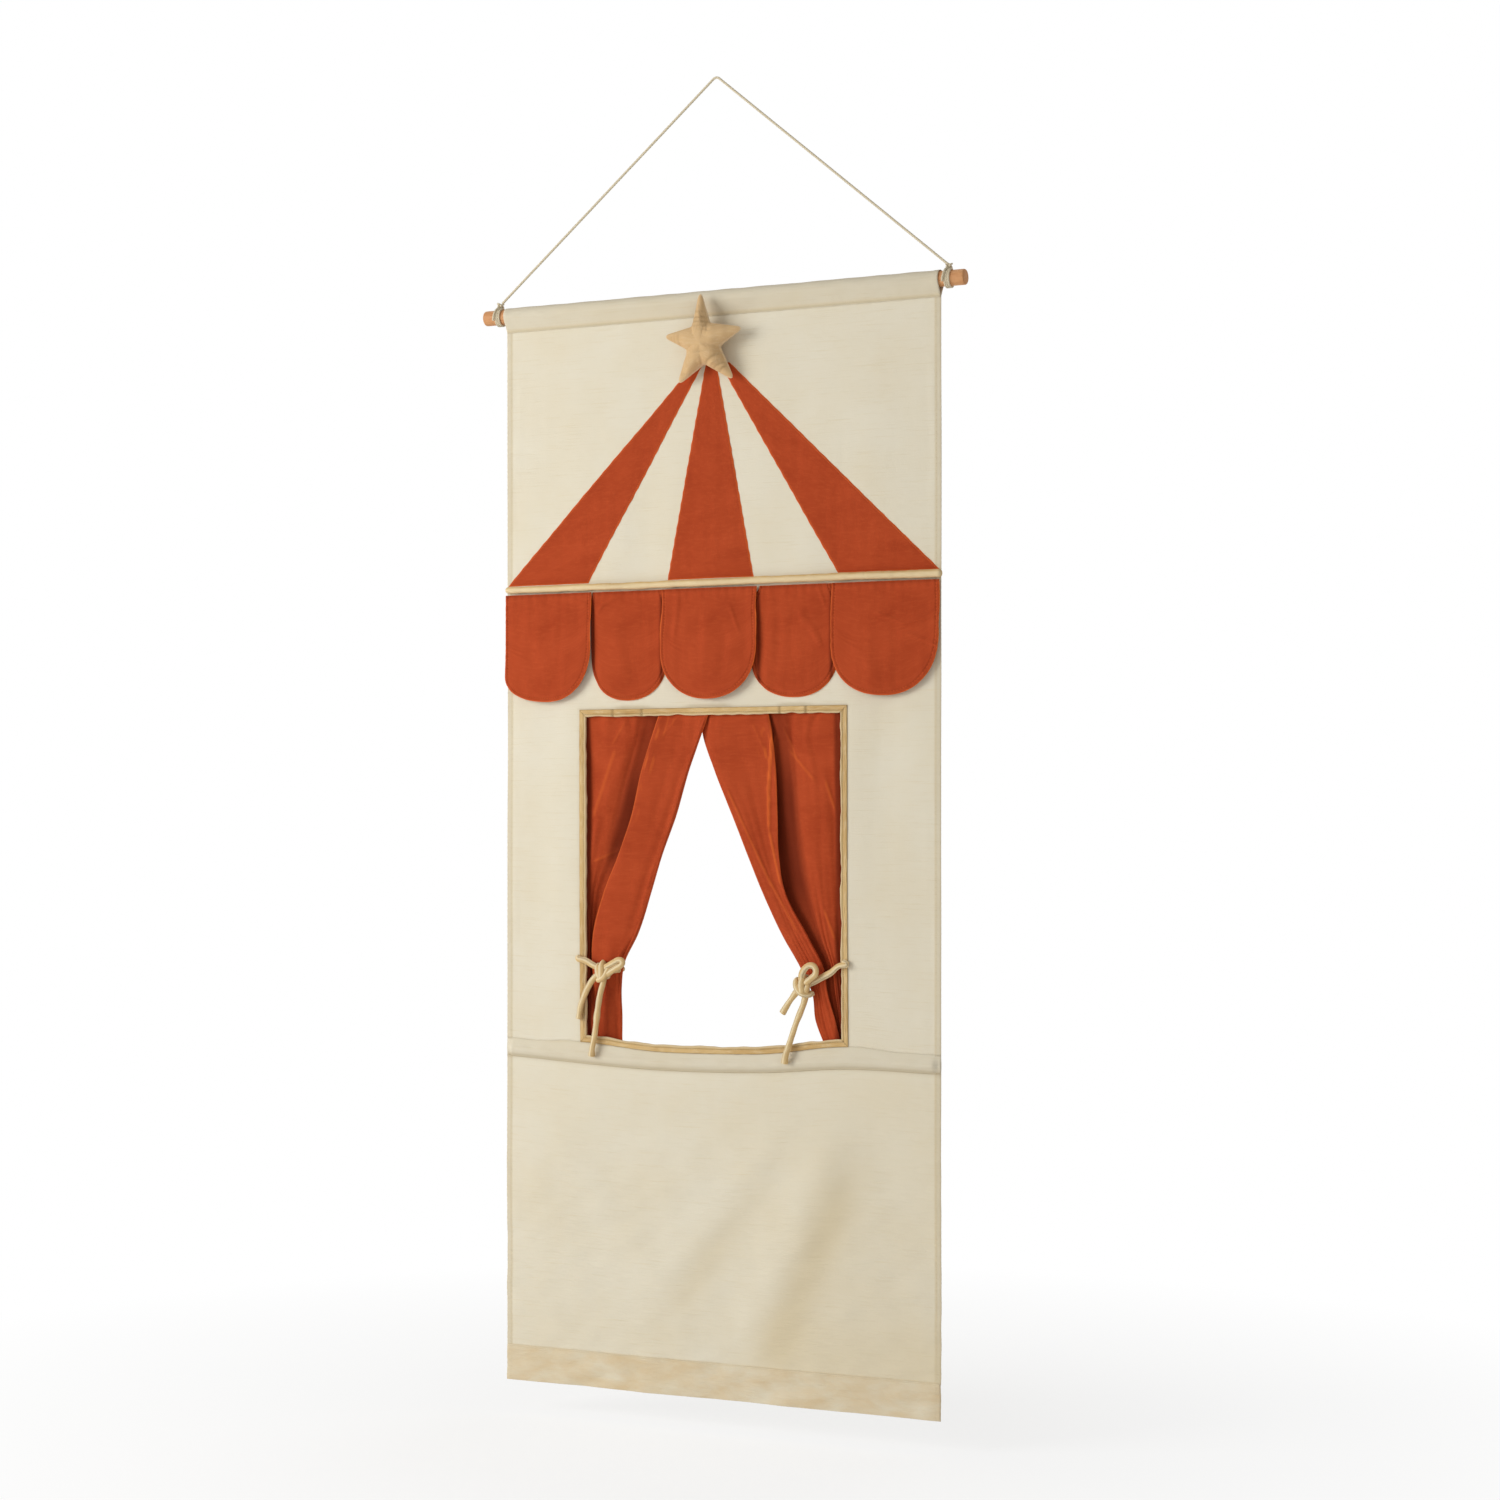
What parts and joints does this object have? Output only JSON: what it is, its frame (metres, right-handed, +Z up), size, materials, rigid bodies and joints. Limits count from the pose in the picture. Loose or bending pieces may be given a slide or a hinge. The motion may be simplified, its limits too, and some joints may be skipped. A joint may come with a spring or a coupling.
{
  "type": "puppet theatre banner",
  "caption": "Hanging doorway puppet theatre: canvas banner on a dowel and cord, velvet tent roof with star, scalloped flaps, curtained window and sill over a plain skirt.",
  "frame": {"origin": "the point where the hanging cord rests on its hook, under the cord's bend, in the middle of the width", "axes": "+Z up; the front of the theatre, with the star and flaps, faces -Y; +X is to the right as seen from the front"},
  "size_m": [0.775, 0.0789, 1.9078],
  "materials": {
    "canvas": "matte",
    "rust_velvet": "matte",
    "sand_velvet": "matte",
    "star_velvet": "matte",
    "cotton_cord": "matte",
    "beech": "satin"
  },
  "bodies": {
    "hanger": {"hanging_cord": "cotton_cord", "cord_tie_left": "cotton_cord", "cord_tie_right": "cotton_cord", "top_dowel": "beech"},
    "banner": {"rod_sleeve": "canvas", "upper_panel": "canvas", "centre_wedge": "rust_velvet", "left_wedge": "rust_velvet", "right_wedge": "rust_velvet", "roof_piping": "sand_velvet", "star_cushion": "star_velvet", "window_binding_top": "sand_velvet", "window_binding_right": "sand_velvet", "window_binding_bottom": "sand_velvet", "window_binding_left": "sand_velvet", "sill_pocket": "canvas", "sill_rod": "beech"},
    "flap_1": {"scallop_flap_1": "rust_velvet"},
    "flap_2": {"scallop_flap_2": "rust_velvet"},
    "flap_3": {"scallop_flap_3": "rust_velvet"},
    "flap_4": {"scallop_flap_4": "rust_velvet"},
    "flap_5": {"scallop_flap_5": "rust_velvet"},
    "curtain_left": {"left_curtain": "rust_velvet", "left_tie_knot": "sand_velvet", "left_tie_strap": "sand_velvet", "left_tie_wrap": "sand_velvet", "left_tie_loop": "sand_velvet", "left_tie_outer_tail": "sand_velvet", "left_tie_inner_tail": "sand_velvet"},
    "curtain_right": {"right_curtain": "rust_velvet", "right_tie_knot": "sand_velvet", "right_tie_strap": "sand_velvet", "right_tie_wrap": "sand_velvet", "right_tie_loop": "sand_velvet", "right_tie_outer_tail": "sand_velvet", "right_tie_inner_tail": "sand_velvet"},
    "skirt": {"lower_panel": "canvas", "bottom_hem": "canvas"}
  },
  "joints": [
    {"name": "banner_swing", "type": "hinge", "parent": "hanger", "child": "banner", "pos_m": [0, 0, -0.317], "axis": [-1, 0, 0], "range_deg": [-75, 75]},
    {"name": "flap_1_lift", "type": "hinge", "parent": "banner", "child": "flap_1", "pos_m": [-0.27575, -0.0058, -0.734], "axis": [-1, 0, 0], "range_deg": [0, 90]},
    {"name": "flap_2_lift", "type": "hinge", "parent": "banner", "child": "flap_2", "pos_m": [-0.14325, -0.0025, -0.734], "axis": [-1, 0, 0], "range_deg": [0, 90]},
    {"name": "flap_3_lift", "type": "hinge", "parent": "banner", "child": "flap_3", "pos_m": [-0.0075, -0.0058, -0.734], "axis": [-1, 0, 0], "range_deg": [0, 90]},
    {"name": "flap_4_lift", "type": "hinge", "parent": "banner", "child": "flap_4", "pos_m": [0.12825, -0.0025, -0.734], "axis": [-1, 0, 0], "range_deg": [0, 90]},
    {"name": "flap_5_lift", "type": "hinge", "parent": "banner", "child": "flap_5", "pos_m": [0.26825, -0.0058, -0.734], "axis": [-1, 0, 0], "range_deg": [0, 90]},
    {"name": "left_curtain_swing", "type": "hinge", "parent": "banner", "child": "curtain_left", "pos_m": [-0.1165, 0.0044, -0.9082], "axis": [1, 0, 0], "range_deg": [0, 6], "deforming": ["left_tie_strap", "left_tie_wrap", "left_tie_outer_tail", "left_tie_inner_tail"]},
    {"name": "right_curtain_swing", "type": "hinge", "parent": "banner", "child": "curtain_right", "pos_m": [0.094, 0.0044, -0.9082], "axis": [1, 0, 0], "range_deg": [0, 6], "deforming": ["right_tie_strap", "right_tie_wrap", "right_tie_outer_tail"]},
    {"name": "skirt_swing", "type": "hinge", "parent": "banner", "child": "skirt", "pos_m": [0, 0, -1.4242], "axis": [-1, 0, 0], "range_deg": [-60, 60]}
  ]
}
